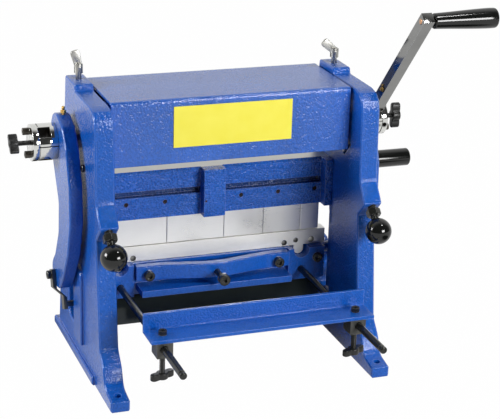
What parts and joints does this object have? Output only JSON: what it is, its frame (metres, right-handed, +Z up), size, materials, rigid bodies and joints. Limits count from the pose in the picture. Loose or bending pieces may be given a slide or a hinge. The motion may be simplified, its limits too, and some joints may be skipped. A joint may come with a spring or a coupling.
{
  "type": "slip roll machine",
  "caption": "Bench-top sheet metal machine: rolls under a cover, finger dies over a lifting bed, crank with two grips, sliding stop gauge.",
  "frame": {"origin": "centre of the whole machine's box in X and Y, with the feet's underside on z = 0", "axes": "+X to the operator's right along the rolls, +Y away from the operator, +Z up"},
  "size_m": [0.577, 0.379, 0.4611],
  "materials": {
    "blue_paint": "glossy hammered enamel on castings",
    "ground_steel": "ground",
    "roll_steel": "turned and polished",
    "chrome_plate": "bright plated",
    "black_oxide": "black oxide, lightly oiled",
    "black_sheet": "satin black paint on folded sheet",
    "black_plastic": "glossy moulded",
    "brass": "plain turned",
    "zinc_plate": "zinc plated",
    "yellow_label": "plain film"
  },
  "bodies": {
    "base": {"left_side_frame": "blue_paint", "right_side_frame": "blue_paint", "side_screw_left": "black_oxide", "side_screw_right": "black_oxide", "roll_cover": "blue_paint", "label_plate": "yellow_label", "upper_beam": "blue_paint", "finger_die_1": "ground_steel", "finger_die_2": "ground_steel", "finger_die_3": "ground_steel", "finger_die_4": "ground_steel", "finger_die_5": "ground_steel"},
    "crank": {"drive_roll": "roll_steel", "hub_left": "chrome_plate", "hub_right": "chrome_plate", "crank_bar": "chrome_plate"},
    "crank_hand_grip": {"crank_grip": "black_plastic"},
    "crank_tail_grip": {"tail_grip": "black_plastic"},
    "top_roll": {"upper_roll": "roll_steel"},
    "bed_group": {"bed": "blue_paint", "lower_die_plate": "ground_steel", "bow_bar": "blue_paint", "chute": "black_sheet", "bow_bolt_left": "black_oxide", "bow_bolt_right": "black_oxide", "gauge_rod_left": "black_oxide", "gauge_rod_right": "black_oxide", "link_left": "zinc_plate", "link_right": "zinc_plate", "arm_bolt_left": "black_oxide", "arm_bolt_right": "black_oxide"},
    "bow_push_screw": {"bow_screw": "black_oxide"},
    "stop_gauge": {"gauge_angle": "blue_paint", "clamp_block_left": "black_oxide", "clamp_block_right": "black_oxide", "cap_screw_left": "black_oxide", "cap_screw_right": "black_oxide"},
    "bending_carriage": {"bending_block_left": "ground_steel", "bending_block_right": "ground_steel"},
    "clamp_left": {"clamp_screw_left": "black_oxide"},
    "arm_group_left": {"arm_left": "blue_paint", "grease_nipple_left": "brass"},
    "thumb_left": {"thumb_screw_left": "black_plastic"},
    "adjuster_left": {"adjust_screw_left": "black_oxide", "ball_knob_left": "black_plastic", "jam_nut_left": "black_oxide"},
    "top_screw_left": {"wing_screw_left": "zinc_plate"},
    "top_wing_left": {"wing_left": "zinc_plate"},
    "clamp_right": {"clamp_screw_right": "black_oxide"},
    "arm_group_right": {"arm_right": "blue_paint", "grease_nipple_right": "brass"},
    "thumb_right": {"thumb_screw_right": "black_plastic"},
    "adjuster_right": {"adjust_screw_right": "black_oxide", "ball_knob_right": "black_plastic", "jam_nut_right": "black_oxide"},
    "top_screw_right": {"wing_screw_right": "zinc_plate"},
    "top_wing_right": {"wing_right": "zinc_plate"},
    "front_roll": {"bending_roll": "roll_steel"}
  },
  "joints": [
    {"name": "crank_turn", "type": "hinge", "parent": "base", "child": "crank", "pos_m": [-0.0275, 0.095, 0.2874], "axis": [-1, 0, 0], "range_deg": [0, 150]},
    {"name": "hand_grip_spin", "type": "hinge", "parent": "crank", "child": "crank_hand_grip", "pos_m": [0.2445, -0.04836, 0.4483], "axis": [1, 0, 0], "continuous": true},
    {"name": "tail_grip_spin", "type": "hinge", "parent": "crank", "child": "crank_tail_grip", "pos_m": [0.2445, 0.17283, 0.20004], "axis": [1, 0, 0], "continuous": true},
    {"name": "top_roll_spin", "type": "hinge", "parent": "base", "child": "top_roll", "pos_m": [-0.0275, 0.10509, 0.32507], "axis": [-1, 0, 0], "range_deg": [-150, 0]},
    {"name": "bed_lift", "type": "slide", "parent": "base", "child": "bed_group", "axis": [0, 0, 1], "range_m": [-0.01, 0]},
    {"name": "bow_screw_turn", "type": "hinge", "parent": "bed_group", "child": "bow_push_screw", "pos_m": [-0.0275, 0.0555, 0.1045], "axis": [0, 1, 0], "range_deg": [-180, 180]},
    {"name": "gauge_slide", "type": "slide", "parent": "bed_group", "child": "stop_gauge", "axis": [0, 1, 0], "range_m": [-0.06, 0.1]},
    {"name": "bending_lift", "type": "slide", "parent": "base", "child": "bending_carriage", "axis": [0, 0.7071, 0.7071], "range_m": [-0.0035, 0.0035]},
    {"name": "bending_roll_spin", "type": "hinge", "parent": "bending_carriage", "child": "front_roll", "pos_m": [-0.0275, 0.0415, 0.285], "axis": [1, 0, 0], "continuous": true},
    {"name": "clamp_turn_left", "type": "hinge", "parent": "crank", "child": "clamp_left", "pos_m": [-0.2775, 0.095, 0.2874], "axis": [1, 0, 0], "range_deg": [-180, 180]},
    {"name": "arm_swing_left", "type": "hinge", "parent": "bed_group", "child": "arm_group_left", "pos_m": [-0.223, 0.1035, 0.107], "axis": [-1, 0, 0], "range_deg": [0, 0.8]},
    {"name": "thumb_turn_left", "type": "hinge", "parent": "stop_gauge", "child": "thumb_left", "pos_m": [-0.1509, -0.103, 0.06], "axis": [0, 0, 1], "range_deg": [-180, 180]},
    {"name": "adjust_turn_left", "type": "hinge", "parent": "bending_carriage", "child": "adjuster_left", "pos_m": [-0.1975, 0.0415, 0.285], "axis": [0, 0.7071, 0.7071], "range_deg": [-720, 720]},
    {"name": "top_screw_turn_left", "type": "hinge", "parent": "base", "child": "top_screw_left", "pos_m": [-0.1975, 0.109, 0.3605], "axis": [0, 0, 1], "range_deg": [-180, 180]},
    {"name": "wing_fold_left", "type": "hinge", "parent": "top_screw_left", "child": "top_wing_left", "pos_m": [-0.1975, 0.109, 0.376], "axis": [0, 1, 0], "range_deg": [-75, 105]},
    {"name": "clamp_turn_right", "type": "hinge", "parent": "crank", "child": "clamp_right", "pos_m": [0.2225, 0.095, 0.2874], "axis": [1, 0, 0], "range_deg": [-180, 180]},
    {"name": "arm_swing_right", "type": "hinge", "parent": "bed_group", "child": "arm_group_right", "pos_m": [0.168, 0.1035, 0.107], "axis": [-1, 0, 0], "range_deg": [0, 0.8]},
    {"name": "thumb_turn_right", "type": "hinge", "parent": "stop_gauge", "child": "thumb_right", "pos_m": [0.0959, -0.103, 0.06], "axis": [0, 0, 1], "range_deg": [-180, 180]},
    {"name": "adjust_turn_right", "type": "hinge", "parent": "bending_carriage", "child": "adjuster_right", "pos_m": [0.1425, 0.0415, 0.285], "axis": [0, 0.7071, 0.7071], "range_deg": [-720, 720]},
    {"name": "top_screw_turn_right", "type": "hinge", "parent": "base", "child": "top_screw_right", "pos_m": [0.1425, 0.109, 0.3605], "axis": [0, 0, 1], "range_deg": [-180, 180]},
    {"name": "wing_fold_right", "type": "hinge", "parent": "top_screw_right", "child": "top_wing_right", "pos_m": [0.1425, 0.109, 0.376], "axis": [0, 1, 0], "range_deg": [-40, 140]}
  ],
  "couplings": [
    {"joint": "top_roll_spin", "follows": "crank_turn", "ratio": -1},
    {"joint": "bed_lift", "follows": "crank_turn", "m_per_rad": -0.0038193},
    {"joint": "arm_swing_left", "follows": "crank_turn", "ratio": 0.0053328},
    {"joint": "arm_swing_right", "follows": "crank_turn", "ratio": 0.0053328},
    {"joint": "adjust_turn_left", "follows": "bending_lift", "rad_per_m": 3590},
    {"joint": "adjust_turn_right", "follows": "bending_lift", "rad_per_m": 3590}
  ]
}
